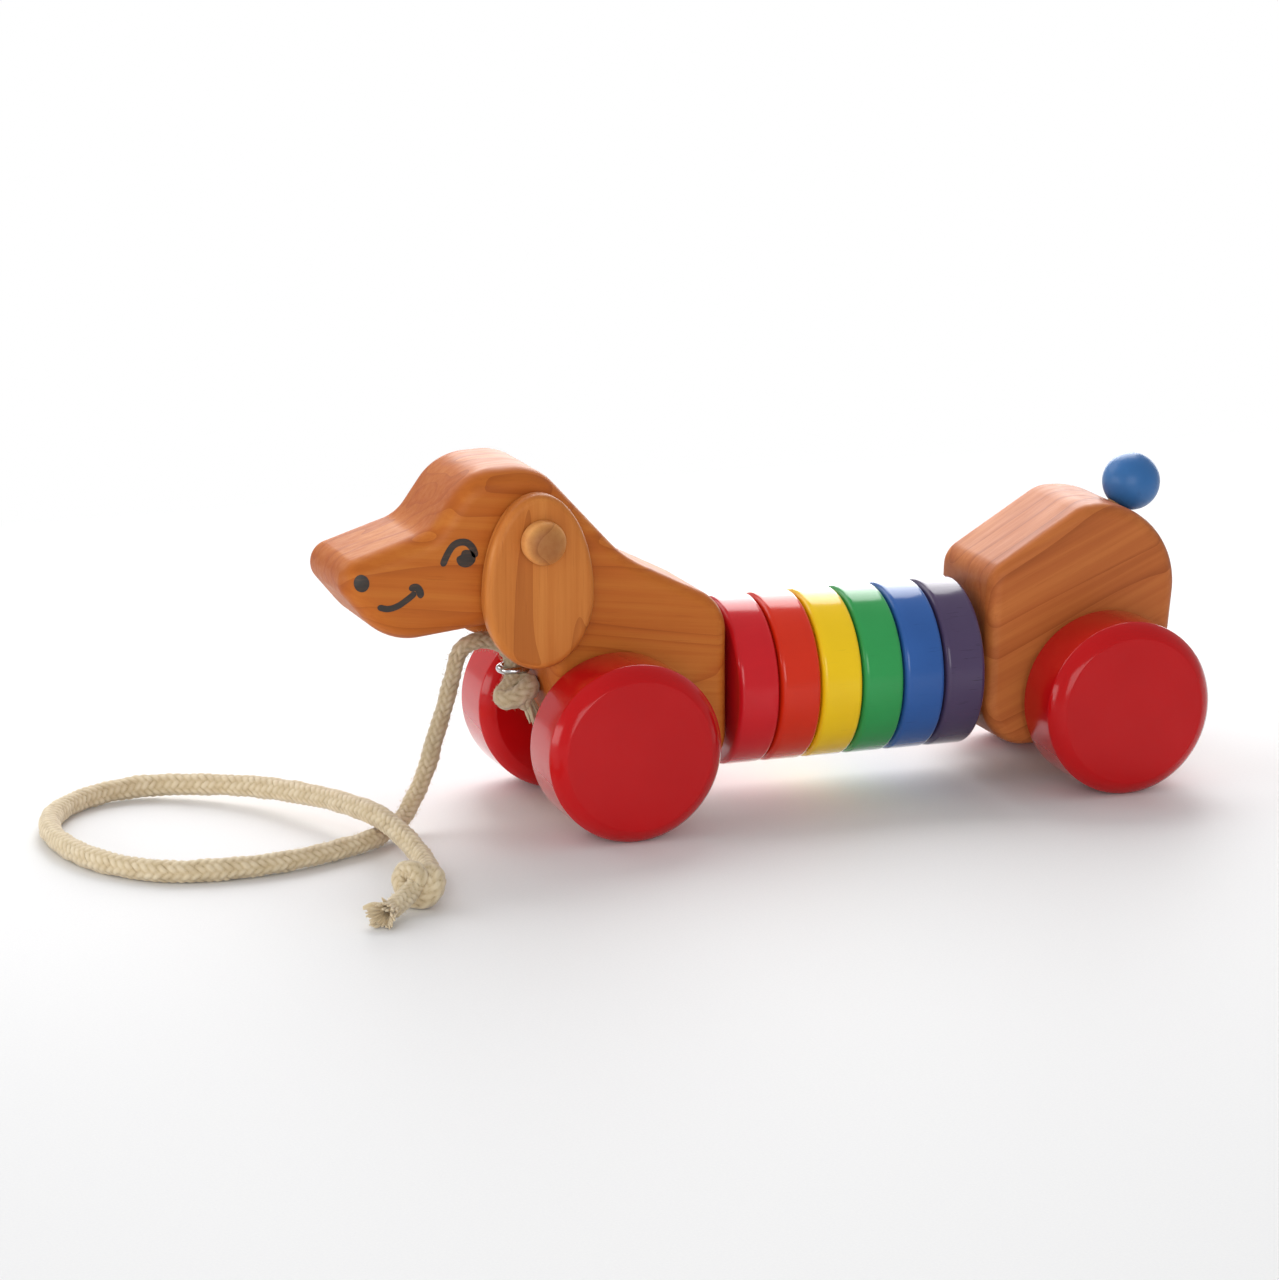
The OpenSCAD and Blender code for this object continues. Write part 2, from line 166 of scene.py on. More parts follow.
def soften(profile, size, least_turn=9, steps=5):
    """Profile with each corner sharper than least_turn degrees rounded over by about size."""
    pts = [np.array(p, float) for p in profile]
    out = [pts[0]]
    for a, b, c in zip(pts, pts[1:], pts[2:]):
        u, v = unit(b - a), unit(c - b)
        turn = math.degrees(math.acos(max(-1.0, min(1.0, float(u @ v)))))
        if turn < least_turn:
            out.append(b)
            continue
        start = b - u * min(size, 0.45 * np.linalg.norm(b - a))
        end = b + v * min(size, 0.45 * np.linalg.norm(c - b))
        for t in np.arange(steps + 1) / steps:
            out.append((1 - t) ** 2 * start + 2 * t * (1 - t) * b + t * t * end)
    return out + [pts[-1]]


def smooth_curve(points, steps):
    """Cubic curve through the points, with steps between neighbours."""
    pts = np.array(points, float)
    n = len(pts)
    out = []
    for i in range(n - 1):
        a, b, c, d = pts[max(i - 1, 0)], pts[i], pts[i + 1], pts[min(i + 2, n - 1)]
        for t in np.arange(steps) / steps:
            out.append(b + t * (c - a) / 2 + t * t * (2 * a - 5 * b + 4 * c - d) / 2
                       + t ** 3 * (3 * b - a - 3 * c + d) / 2)
    return np.array(out + [pts[-1]])


def even_spaced(path, spacing):
    """Path resampled at an even spacing, with the distance along it."""
    steps = np.linalg.norm(np.diff(path, axis=0), axis=1)
    along = np.concatenate([[0], np.cumsum(steps)])
    count = max(2, int(round(along[-1] / spacing)) + 1)
    s = np.linspace(0, along[-1], count)
    return np.stack([np.interp(s, along, path[:, k]) for k in range(3)], 1), s


def carried_frames(path):
    """Tangent and two side directions at each point, carried along without twist."""
    tangent = np.gradient(path, axis=0)
    tangent /= np.linalg.norm(tangent, axis=1, keepdims=True)
    start = np.array([0, 0, 1.0]) if abs(tangent[0][2]) < 0.8 else np.array([0, 1.0, 0])
    side = unit(start - tangent[0] * (start @ tangent[0]))
    sides = []
    for t in tangent:
        side = unit(side - t * (side @ t))
        sides.append(side)
    sides = np.array(sides)
    return tangent, sides, np.cross(tangent, sides)


# Mesh pieces

BORE_SIDES = 64


def new_piece(name, verts, faces, body, replaced=(), normals=None, sharp=None):
    """Mesh object that rides on a body and stands for CAD nodes."""
    mesh = bpy.data.meshes.new(name)
    mesh.from_pydata([tuple(map(float, v)) for v in verts], [], [tuple(map(int, f)) for f in faces])
    mesh.validate()
    mesh.polygons.foreach_set("use_smooth", [True] * len(mesh.polygons))
    if sharp is not None:
        mesh.set_sharp_from_angle(angle=math.radians(sharp))
    if normals is not None:
        mesh.normals_split_custom_set_from_vertices([tuple(map(float, n)) for n in normals])
    obj = bpy.data.objects.new(name, mesh)
    bpy.context.scene.collection.objects.link(obj)
    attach(obj, body)
    if replaced:
        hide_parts(*replaced)
    return obj


def paint(obj, material):
    obj.data.materials.clear()
    obj.data.materials.append(material)


def slab(name, outline, y_mid, thick, edge, body, node, hole=None, steps=8):
    """Board across Y with rounded-over edges and, where given, one bore (x, z, radius).

    edge is the radius of the edges, one for all or one for each point of the outline.
    """
    n = len(outline)
    edge = np.broadcast_to(edge, n)
    norm2 = outward(outline)
    verts, normals = [], []
    quarter = [math.pi / 2 * k / steps for k in range(steps + 1)]
    levels = [(-1, a) for a in reversed(quarter)] + [(1, a) for a in quarter]
    for side, a in levels:
        ring = inset(outline, edge[:, None] * (1 - math.cos(a)))
        depth = y_mid + side * (thick / 2 - edge * (1 - math.sin(a)))
        verts += [(p[0], y, p[1]) for p, y in zip(ring, depth)]
        normals += [(q[0] * math.cos(a), side * math.sin(a), q[1] * math.cos(a)) for q in norm2]
    top = len(levels) - 1
    faces = [
        (k * n + i, (k + 1) * n + i, (k + 1) * n + (i + 1) % n, k * n + (i + 1) % n)
        for k in range(top) for i in range(n)
    ]
    loops = [[(p[0], p[1], 0.0) for p in inset(outline, edge[:, None])]]
    rim_near = rim_far = []
    if hole:
        angles = np.linspace(0, 2 * math.pi, BORE_SIDES, endpoint=False)
        ring = [(hole[0] + hole[2] * math.cos(t), hole[1] + hole[2] * math.sin(t)) for t in angles]
        loops.append([(p[0], p[1], 0.0) for p in reversed(ring)])
        rims = []
        for side, inward in ((-1, False), (1, False), (-1, True), (1, True)):
            rims.append(len(verts))
            verts += [(p[0], y_mid + side * thick / 2, p[1]) for p in reversed(ring)]
            normals += [
                (-math.cos(t), 0, -math.sin(t)) if inward else (0, side, 0)
                for t in reversed(angles)
            ]
        rim_near = list(range(rims[0], rims[0] + BORE_SIDES))
        rim_far = list(range(rims[1], rims[1] + BORE_SIDES))
        faces += [
            (rims[2] + i, rims[2] + j, rims[3] + j, rims[3] + i)
            for i, j in ((k, (k + 1) % BORE_SIDES) for k in range(BORE_SIDES))
        ]
    near = list(range(n)) + rim_near
    far = list(range(top * n, top * n + n)) + rim_far
    spots = [Vector(p) for loop in loops for p in loop]
    for tri in tessellate_polygon([[Vector(p) for p in loop] for loop in loops]):
        a, b, c = (spots[i] for i in tri)
        flip = (b - a).cross(c - a).z > 0
        order = tri if flip else tri[::-1]
        faces.append(tuple(near[i] for i in order))
        faces.append(tuple(far[i] for i in reversed(order)))
    return new_piece(name, verts, faces, body, (node,), normals=normals)


def lathe(name, profile, centre, axis, body, replaced, closed=False, segments=160, sharp=30):
    """Solid of revolution: profile points (radius, distance along the axis) in metres."""
    axis = unit(np.array(axis, float))
    u = unit(np.cross(axis, [0, 0, 1.0] if abs(axis[2]) < 0.9 else [1.0, 0, 0]))
    v = np.cross(axis, u)
    turn = np.linspace(0, 2 * math.pi, segments, endpoint=False)
    around = np.cos(turn)[:, None] * u + np.sin(turn)[:, None] * v
    verts, rings = [], []
    for r, s in profile:
        point = np.array(centre, float) + axis * s
        if r < 1e-7:
            rings.append([len(verts)])
            verts.append(point)
        else:
            rings.append(list(range(len(verts), len(verts) + segments)))
            verts += list(point + r * around)
    pairs = list(zip(rings, rings[1:])) + ([(rings[-1], rings[0])] if closed else [])
    faces = []
    for low, high in pairs:
        for i in range(segments):
            j = (i + 1) % segments
            if len(low) == 1:
                faces.append((low[0], high[j], high[i]))
            elif len(high) == 1:
                faces.append((low[i], low[j], high[0]))
            else:
                faces.append((low[i], low[j], high[j], high[i]))
    return new_piece(name, verts, faces, body, replaced, sharp=sharp)


def tube_rings(path, radii, sides, height=None):
    """Points and faces of a tube round the path, closed at both ends."""
    tangent, u, v = carried_frames(path)
    turn = np.linspace(0, 2 * math.pi, sides, endpoint=False)
    reach = np.broadcast_to(np.asarray(radii, float)[:, None], (len(path), sides))
    if height is not None:
        reach = reach + height
    verts = (path[:, None] + reach[..., None] * (
        np.cos(turn)[None, :, None] * u[:, None] + np.sin(turn)[None, :, None] * v[:, None]))
    verts = list(verts.reshape(-1, 3))
    faces = []
    for i in range(len(path) - 1):
        for k in range(sides):
            j = (k + 1) % sides
            faces.append((i * sides + k, i * sides + j, (i + 1) * sides + j, (i + 1) * sides + k))
    last = (len(path) - 1) * sides
    verts += [path[0] - tangent[0] * reach[0].mean() * 0.5,
              path[-1] + tangent[-1] * reach[-1].mean() * 0.5]
    for k in range(sides):
        j = (k + 1) % sides
        faces.append((len(verts) - 2, j, k))
        faces.append((len(verts) - 1, last + k, last + j))
    return verts, faces


# Braided cord

CARRIERS = 8
CELL = 2.4 * MM
RELIEF = 0.5 * MM
FLOOR_GAP = 0.05 * MM
HAIR_RADII = (0.05, 0.042, 0.015)
HAIR_FLOOR = 0.1 * MM


def braid_height(s, sides):
    """Height from 0 to 1 of a two-over-two braid at distances s along a cord."""
    turn = np.arange(sides) / sides * CARRIERS
    a = turn[None, :] + (s / CELL)[:, None]
    b = turn[None, :] - (s / CELL)[:, None]
    i, j = np.floor(a), np.floor(b)
    over = np.mod(i + j, 4) < 2
    run_a = np.mod(i + b, 4) / 2
    run_b = (np.mod(a + j, 4) - 2) / 2
    ridge_a = np.sqrt(np.clip(1 - (2 * (a - i) - 1) ** 2, 0, 1))
    ridge_b = np.sqrt(np.clip(1 - (2 * (b - j) - 1) ** 2, 0, 1))
    arch_a = 0.45 + 0.55 * np.sin(np.pi * np.clip(run_a, 0, 1))
    arch_b = 0.45 + 0.55 * np.sin(np.pi * np.clip(run_b, 0, 1))
    slack = 1 + 0.18 * np.sin(2.1 * a + 0.7 * b) + 0.15 * np.sin(1.3 * b - 0.4 * a + 1)
    return np.where(over, ridge_a * arch_a, ridge_b * arch_b) * slack


def braided(name, points, radii, body, replaced, sides=48, spacing=0.42 * MM, relief=RELIEF):
    """Braided cotton tube through the points; radii are given at the points."""
    curve = smooth_curve(points, 24)
    path, s = even_spaced(curve, spacing)
    at = np.linspace(0, 1, len(radii))
    reach = np.interp(np.linspace(0, 1, len(path)), at, radii)
    reach = reach * (1 + 0.025 * np.sin(s / (7 * MM)) + 0.02 * np.sin(s / (2.9 * MM) + 2))
    height = braid_height(s, sides)
    verts, faces = tube_rings(path, reach - 0.6 * relief, sides, relief * height)
    verts = [(x, y, max(z, FLOOR_GAP)) for x, y, z in verts]
    obj = new_piece(name, verts, faces, body, replaced)
    depth = obj.data.attributes.new("braid_height", "FLOAT", "POINT")
    depth.data.foreach_set("value", np.concatenate([height.ravel(), [0.5, 0.5]]).astype(np.float32))
    return obj, path


def fuzz(name, paths, counts, reach, body, rng):
    """Loose cotton fibres that stand off the cord, each a thin bent hair."""
    sides = 3
    turn = np.linspace(0, 2 * math.pi, sides, endpoint=False)
    verts, faces = [], []
    for path, count in zip(paths, counts):
        tangent, u, v = carried_frames(path)
        at = rng.integers(1, len(path) - 1, count)
        angle = rng.uniform(0, 2 * math.pi, count)[:, None]
        radial = np.cos(angle) * u[at] + np.sin(angle) * v[at]
        around = np.cos(angle) * v[at] - np.sin(angle) * u[at]
        lean = (rng.normal(0, 0.8, count)[:, None] * tangent[at]
                + rng.normal(0, 0.6, count)[:, None] * around)
        long = rng.uniform(0.5, 1.5, count)[:, None] * MM
        root = path[at] + radial * reach * 0.9
        middle = root + (radial * 0.75 + lean * 0.3) * long * 0.5
        tip = middle + (radial * 0.25 + lean * 0.8) * long * 0.5
        for point in (root, middle, tip):
            point[:, 2] = np.maximum(point[:, 2], HAIR_FLOOR)
        for k in range(count):
            base = len(verts)
            for point, thick in zip((root[k], middle[k], tip[k]), HAIR_RADII):
                verts += [point + thick * MM * (math.cos(t) * tangent[at[k]]
                                                + math.sin(t) * around[k]) for t in turn]
            for ring in (0, sides):
                faces += [(base + ring + i, base + ring + (i + 1) % sides,
                           base + ring + sides + (i + 1) % sides, base + ring + sides + i)
                          for i in range(sides)]
    obj = new_piece(name, verts, faces, body)
    # The hairs take the pale crown tone of the cotton's painted shade.
    depth = obj.data.attributes.new("braid_height", "FLOAT", "POINT")
    depth.data.foreach_set("value", np.full(len(verts), 0.8, np.float32))
    return obj


def strands(name, tips, radius, body, replaced):
    """Bundle of loose yarn ends, each a thin tapering tube along its own curve."""
    verts, faces, heights = [], [], []
    for points in tips:
        path = smooth_curve(points, 5)
        taper = radius * np.interp(np.linspace(0, 1, len(path)), [0, 0.7, 1], [1, 0.9, 0.35])
        v, f = tube_rings(path, taper, 7)
        faces += [tuple(k + len(verts) for k in face) for face in f]
        verts += v
        # Painted shade: each yarn's colour height runs from dark at its root by the knot to pale at
        # its tip.
        heights += list(np.linspace(0.25, 1, len(v)))
    obj = new_piece(name, verts, faces, body, replaced)
    depth = obj.data.attributes.new("braid_height", "FLOAT", "POINT")
    depth.data.foreach_set("value", np.array(heights, np.float32))
    return obj


# Materials


def srgb(r, g, b):
    """Linear colour from the 0 to 255 values seen on a screen."""
    def line(c):
        c /= 255
        return c / 12.92 if c <= 0.04045 else ((c + 0.055) / 1.055) ** 2.4
    return (line(r), line(g), line(b), 1.0)


class Finish:
    """A material's node tree with short calls to add and join nodes."""

    def __init__(self, name):
        self.material = bpy.data.materials.new(name)
        self.material.use_nodes = True
        self.tree = self.material.node_tree
        self.shader = self.tree.nodes["Principled BSDF"]

    def add(self, kind, inputs=None, **settings):
        node = self.tree.nodes.new("ShaderNode" + kind)
        for key, value in settings.items():
            setattr(node, key, value)
        for key, value in (inputs or {}).items():
            self.put(node.inputs[key], value)
        return node

    def put(self, socket, value):
        if isinstance(value, bpy.types.NodeSocket):
            self.tree.links.new(value, socket)
        else:
            socket.default_value = value

    def set(self, **values):
        for key, value in values.items():
            self.put(self.shader.inputs[key.replace("_", " ")], value)

    def math(self, operation, a, b=0.0):
        return self.add("Math", {0: a, 1: b}, operation=operation).outputs[0]

    def mix(self, factor, a, b):
        node = self.add("Mix", data_type="RGBA")
        self.put(node.inputs["Factor"], factor)
        self.put(node.inputs[6], a)
        self.put(node.inputs[7], b)
        return node.outputs[2]

    def ramp(self, value, stops):
        node = self.add("ValToRGB", {"Fac": value})
        spots = node.color_ramp.elements
        while len(spots) < len(stops):
            spots.new(0.5)
        for spot, (position, colour) in zip(spots, stops):
            spot.position = position
            spot.color = colour
        return node.outputs["Color"]

    def level(self, value, low, high, to_low=0.0, to_high=1.0):
        node = self.add("MapRange", {
            "Value": value, "From Min": low, "From Max": high,
            "To Min": to_low, "To Max": to_high})
        return node.outputs["Result"]

    def noise(self, where, scale, detail=4.0, rough=0.5, distortion=0.0):
        node = self.add("TexNoise", {
            "Vector": where, "Scale": scale, "Detail": detail,
            "Roughness": rough, "Distortion": distortion})
        return node.outputs["Fac"]

    def place(self, turn=(0, 0, 0), stretch=(1, 1, 1), shift=(0, 0, 0)):
        """Object coordinates, turned and then stretched along the turned axes."""
        coords = self.add("TexCoord").outputs["Object"]
        turned = self.add("Mapping", {"Vector": coords, "Rotation": turn}).outputs["Vector"]
        node = self.add("Mapping", {"Vector": turned, "Scale": stretch, "Location": shift})
        return node.outputs["Vector"]

    def facing(self, axis):
        """How squarely the surface faces along an axis, from 0 to 1."""
        normal = self.add("TexCoord").outputs["Normal"]
        node = self.add("VectorMath", {0: normal, 1: axis}, operation="DOT_PRODUCT")
        return self.math("ABSOLUTE", node.outputs["Value"])

    def bump(self, height, strength, distance):
        node = self.add("Bump", {
            "Height": height, "Strength": strength, "Distance": distance})
        self.put(self.shader.inputs["Normal"], node.outputs["Normal"])


def cherry(name, light, mid, dark, tilt, shift, lines=13.0, rough=0.42, across=False):
    """Oiled cherry: growth lines drawn out along the grain, fine fibres and pores.

    tilt is the grain's rise from +X toward +Z in degrees, or the grain runs along Y where
    across is set. End grain has drunk more oil and is darker.
    """
    f = Finish(name)
    lean = math.radians(tilt)
    turn = (0, 0, math.pi / 2) if across else (0, lean, 0)
    grain_way = (0, 1, 0) if across else (math.cos(lean), 0, math.sin(lean))
    broad = f.noise(f.place(turn, (3.2, 30, 30), shift), 1.0, 2.0, 0.45, 0.15)
    rings = f.math("FRACT", f.math("MULTIPLY", broad, lines))
    fibre = f.noise(f.place(turn, (11, 560, 560), shift), 1.0, 6.0, 0.62)
    cloud = f.noise(f.place(turn, (9, 34, 34), shift), 1.0, 3.0, 0.5)
    band = f.noise(f.place(turn, (5, 170, 170), shift), 1.0, 2.0, 0.5)
    pores = f.noise(f.place(turn, (80, 2600, 2600), shift), 1.0, 2.0, 0.5)
    late = f.math("POWER", f.level(rings, 0.35, 1.0), 4.0)
    tone = f.math("ADD", f.math("MULTIPLY", late, 0.24), f.math("MULTIPLY", band, 0.36))
    tone = f.math("ADD", tone, f.math("MULTIPLY", fibre, 0.36))
    tone = f.math("ADD", tone, f.math("MULTIPLY", cloud, 0.3))
    wood = f.ramp(tone, [(0.3, light), (0.56, mid), (1.0, dark)])
    fleck = f.level(pores, 0.62, 0.76)
    wood = f.mix(f.math("MULTIPLY", fleck, 0.25), wood, dark)
    wood = f.mix(f.level(f.facing(grain_way), 0.5, 0.98, 0.0, 0.55), wood, dark)
    f.set(Base_Color=wood, Roughness=f.level(fibre, 0.3, 0.7, rough - 0.05, rough + 0.08),
          Specular_IOR_Level=0.16)
    grain = f.math("ADD", f.math("MULTIPLY", fibre, 0.7),
                   f.math("SUBTRACT", f.math("MULTIPLY", late, 0.15),
                          f.math("MULTIPLY", fleck, 0.5)))
    f.bump(grain, 0.2, 0.00012)
    return f.material


def gloss_paint(name, colour, deep, rough, coat, grain, streaks, pits, shine, bend=1.28):
    """Paint on turned wood: slight colour drift, orange peel, and grain that shows through.

    grain stretches the wood's fibres, streaks is how far they stand up and pits how dark
    the open pores are. bend is the coat's refraction, which sets how it shines face on.
    """
    f = Finish(name)
    drift = f.noise(f.place(), 38.0, 2.0, 0.5)
    peel = f.noise(f.place(), 420.0, 2.0, 0.5)
    fibre = f.noise(f.place((0, 0, 0), grain), 1.0, 5.0, 0.65)
    pores = f.noise(f.place((0, 0, 0), tuple(3 * k for k in grain)), 1.0, 2.0, 0.5)
    open_pore = f.level(pores, 0.66, 0.78)
    body = f.mix(f.level(drift, 0.35, 0.7, 0.0, 0.6), colour, deep)
    pore_colour = tuple(0.35 * c for c in deep[:3]) + (1.0,)
    body = f.mix(f.math("MULTIPLY", open_pore, pits), body, pore_colour)
    f.set(Base_Color=body, Roughness=f.level(fibre, 0.3, 0.7, rough - 0.03, rough + 0.05),
          Specular_IOR_Level=shine, Coat_Weight=coat, Coat_Roughness=0.13, Coat_IOR=bend)
    height = f.math("ADD", f.math("MULTIPLY", peel, 0.25),
                    f.math("SUBTRACT", f.math("MULTIPLY", fibre, streaks),
                           f.math("MULTIPLY", open_pore, pits)))
    f.bump(height, 0.16, 0.00014)
    return f.material


def cotton(name):
    """Cotton yarn: painted shade in the strand gaps and up the rising cord, pale crowns, fibre
    fuzz.
    """
    f = Finish(name)
    height = f.add("Attribute", attribute_name="braid_height").outputs["Fac"]
    fibre = f.noise(f.place(), 2600.0, 4.0, 0.65)
    stain = f.noise(f.place(), 110.0, 3.0, 0.5)
    # Painted shade: the braid height darkens the low gaps between strands and lightens the crowns.
    shade = f.math("ADD", f.math("MULTIPLY", height, 0.8), f.math("MULTIPLY", fibre, 0.35))
    yarn = f.ramp(shade, [(0.1, srgb(128, 104, 74)), (0.5, srgb(198, 178, 143)),
                          (0.95, srgb(220, 204, 174))])
    yarn = f.mix(f.level(stain, 0.4, 0.75, 0.0, 0.35), yarn, srgb(204, 184, 146))
    # Painted shade: the cord darkens by about a fifth as it rises from 6 to 24 mm off the floor.
    up = f.add("SeparateXYZ", {"Vector": f.place()}).outputs["Z"]
    yarn = f.mix(f.level(up, 0.006, 0.024, 0.0, 0.8), yarn, f.mix(0.72, (0, 0, 0, 1), yarn))
    f.set(Base_Color=yarn, Roughness=0.9, Sheen_Weight=0.35, Sheen_Roughness=0.5,
          Specular_IOR_Level=0.2)
    f.bump(fibre, 0.55, 0.00018)
    return f.material


def zinc(name):
    """Bright plated steel wire with fine drawing marks."""
    f = Finish(name)
    marks = f.noise(f.place((0, 0, 0), (900, 900, 2600)), 1.0, 3.0, 0.6)
    tint = f.mix(f.level(marks, 0.35, 0.7), srgb(214, 214, 214), srgb(176, 178, 182))
    f.set(Base_Color=tint, Metallic=1.0, Roughness=f.level(marks, 0.3, 0.7, 0.16, 0.3))
    f.bump(marks, 0.08, 0.0001)
    return f.material


def ink(name):
    """Brown-black drawn line that has sunk a little into the grain."""
    f = Finish(name)
    soak = f.noise(f.place((0, 0, 0), (200, 1500, 1500)), 1.0, 3.0, 0.6)
    tone = f.mix(f.level(soak, 0.45, 0.75), srgb(44, 36, 30), srgb(72, 50, 34))
    f.set(Base_Color=tone, Roughness=0.5)
    f.bump(soak, 0.1, 0.0001)
    return f.material


HEAD_WOOD = cherry("cherry_head", srgb(206, 128, 54), srgb(186, 101, 37), srgb(146, 67, 22),
                   -7, (0.3, 0.2, 0.1))
RUMP_WOOD = cherry("cherry_rump", srgb(204, 124, 64), srgb(180, 100, 50), srgb(132, 62, 28),
                   24, (0.7, 1.4, 0.3), lines=9.0)
EAR_WOOD = cherry("cherry_ear", srgb(212, 138, 68), srgb(192, 114, 50), srgb(150, 78, 30),
                  90, (0.9, 1.3, 2.2))
PEG_WOOD = cherry("peg_wood", srgb(226, 164, 96), srgb(206, 138, 76), srgb(104, 50, 30),
                  0, (2.6, 0.2, 1.4), across=True)
DOWEL_WOOD = cherry("dowel_wood", srgb(222, 184, 136), srgb(204, 160, 108), srgb(168, 120, 76),
                    0, (3.1, 1.2, 0.6))
WHEEL_PAINT = gloss_paint("wheel_paint", srgb(188, 16, 20), srgb(178, 8, 12), rough=0.18,
                          coat=1.0, grain=(120, 24, 120), streaks=0.12, pits=0.0, shine=0.05)
BALL_PAINT = gloss_paint("ball_paint", srgb(54, 110, 170), srgb(44, 94, 152), rough=0.36,
                         coat=0.06, grain=(160, 160, 40), streaks=0.4, pits=0.25, shine=0.3)
DISC_COLOURS = {
    "red": (srgb(208, 26, 36), srgb(192, 18, 28)),
    "orange": (srgb(216, 46, 16), srgb(206, 38, 12)),
    "yellow": (srgb(246, 204, 20), srgb(240, 194, 14)),
    "green": (srgb(50, 158, 84), srgb(42, 144, 72)),
    "blue": (srgb(50, 98, 170), srgb(40, 84, 152)),
    "purple": (srgb(80, 66, 98), srgb(68, 54, 84)),
}
DISC_PITS = {"purple": 0.75, "blue": 0.35}
USUAL_PITS = 0.12
COTTON = cotton("cotton_braid")
ZINC = zinc("zinc_steel")
INK = ink("ink_line")


# Wooden body


def make_blocks():
    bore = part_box("front_axle")[1].z - FRONT.z + 0.4 * MM
    front = rounded_outline(FRONT_CORNERS, FRONT.x)
    rear = rounded_outline(REAR_CORNERS, REAR.x)
    toward_nose = np.clip((FRONT.x - 8 * MM - front[:, 0]) / (22 * MM), 0, 1)
    edge = EDGE_ROUND + (HEAD_ROUND - EDGE_ROUND) * toward_nose
    head = slab("head_and_chest", front, 0, BLOCK_T, edge, "chassis", "front_block",
                hole=(FRONT.x, FRONT.z, bore))
    rump = slab("rump", rear, 0, BLOCK_T, EDGE_ROUND, "chassis", "rear_block",
                hole=(REAR.x, REAR.z, bore))
    paint(head, HEAD_WOOD)
    paint(rump, RUMP_WOOD)
    return front


def make_ears():
    angle = np.linspace(0, 2 * math.pi, 144, endpoint=False)
    drop, up, down, wide = 15.8 * MM, 28.8 * MM, 21 * MM, 32 * MM
    edge, bore = 2.4 * MM, 3.55 * MM
    tall = np.where(np.sin(angle) >= 0, up, down)
    outline = np.stack([EAR.x + wide / 2 * np.cos(angle), EAR.z - drop + tall * np.sin(angle)], 1)
    for side in ("left", "right"):
        low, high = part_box(side + "_ear")
        ear = slab(side + "_ear_board", outline, (low.y + high.y) / 2, high.y - low.y, edge,
                   side + "_ear_body", side + "_ear",
                   hole=(EAR.x, EAR.z, bore))
        paint(ear, EAR_WOOD)


def make_pegs():
    for side, sign in (("left", -1), ("right", 1)):
        shaft, head, seat = 3.15 * MM, 6.2 * MM, 12 * MM
        start, rim, dome = 8 * MM, 2.4 * MM, 3.6 * MM
        profile = [(0, -seat), (shaft, -seat), (shaft, start), (head, start)]
        turn = np.linspace(0, math.pi / 2, 28)
        profile += [(head * math.cos(t) ** 0.8, start + rim + dome * math.sin(t))
                    for t in turn[:-1]]
        profile += [(0, start + rim + dome)]
        profile = soften(profile, 0.5 * MM, least_turn=25)
        peg = lathe(side + "_peg", profile, (EAR.x, sign * BLOCK_T / 2, EAR.z), (0, sign, 0),
                    "chassis", (side + "_ear_peg",))
        paint(peg, PEG_WOOD)


def make_wheels():
    radius, thick, flat, shoulder = 25.4 * MM, 24.5 * MM, 21.3 * MM, 4 * MM
    crown, play = 0.5 * MM, 0.5 * MM
    profile = [(0, 0)] + bulge((flat, 0), (radius, shoulder), crown)
    profile += bulge((radius, thick - shoulder), (flat, thick), crown) + [(0, thick)]
    profile = soften(profile, 0.45 * MM)
    for end, at in (("front", FRONT), ("rear", REAR)):
        for side, sign in (("left", -1), ("right", 1)):
            node = end + "_" + side + "_wheel"
            inner = BLOCK_T / 2 + play
            wheel = lathe(node + "_turned", profile, (at.x, sign * inner, at.z), (0, sign, 0),
                          end + "_wheelset", (node,), segments=224)
            paint(wheel, WHEEL_PAINT)


def make_discs():
    radius, edge, hole, crown = 24.5 * MM, 1.6 * MM, 6.75 * MM, 0.46 * MM
    for name, colours in DISC_COLOURS.items():
        low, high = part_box("disc_" + name)
        thick = high.x - low.x
        profile = [(hole, 0)] + bulge((radius - edge, 0), (radius, edge), crown)
        profile += bulge((radius, thick - edge), (radius - edge, thick), crown)
        profile += [(hole, thick)]
        profile = soften(profile, 0.4 * MM)
        spine = JOINT_AT["disc_" + name + "_spin"]
        disc = lathe("disc_" + name + "_turned", profile, (low.x, 0, spine.z), (1, 0, 0),
                     "disc_" + name + "_body", ("disc_" + name,),
                     closed=True, segments=192)
        paint(disc, gloss_paint("disc_" + name + "_paint", *colours, rough=0.2, coat=1.0,
                                grain=(45, 650, 650), streaks=2.2,
                                pits=DISC_PITS.get(name, USUAL_PITS), shine=0.08, bend=1.34))


def make_tail():
    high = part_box("tail_ball")[1]
    ball_r = 8.5 * MM
    lean = math.radians(TAIL_LEAN)
    out = np.array([math.cos(lean), 0, math.sin(lean)])
    centre = np.array([high.x - ball_r, 0, high.z - ball_r])
    flat = 7.9 * MM
    start = math.acos(flat / ball_r)
    angles = np.linspace(math.pi - start, 0, 60)
    profile = [(0, -flat)] + [(ball_r * math.sin(t), ball_r * math.cos(t)) for t in angles]
    profile[-1] = (0, ball_r)
    ball = lathe("tail_bead", soften(profile, 0.4 * MM), centre, out, "chassis", ("tail_ball",),
                 segments=128)
    paint(ball, BALL_PAINT)


def make_eye():
    low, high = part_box("screw_eye")
    wire = (high.z - low.z) / 2
    ring = (high.y - low.y) / 2 - wire
    z = (low.z + high.z) / 2
    cx = low.x + ring + wire
    turn = np.radians(np.linspace(14, 342, 60))
    loop = [(cx + ring * math.cos(t), ring * math.sin(t), z) for t in turn]
    shank = [(high.x, 0, z), (high.x - 4 * MM, 0, z), (cx + ring + 3 * MM, 0, z),
             (cx + ring + 1.2 * MM, 0.1 * MM, z)]
    path, _ = even_spaced(smooth_curve(shank + loop, 6), 0.25 * MM)
    verts, faces = tube_rings(path, np.full(len(path), wire), 24)
    eye = new_piece("screw_eye_wire", verts, faces, "chassis", ("screw_eye",),
                    sharp=50)
    paint(eye, ZINC)


def finish_hidden_dowels():
    for node in ("spine_dowel", "front_axle", "rear_axle", "tail_peg"):
        paint(frame["nodes"][node], DOWEL_WOOD)


# Drawn face

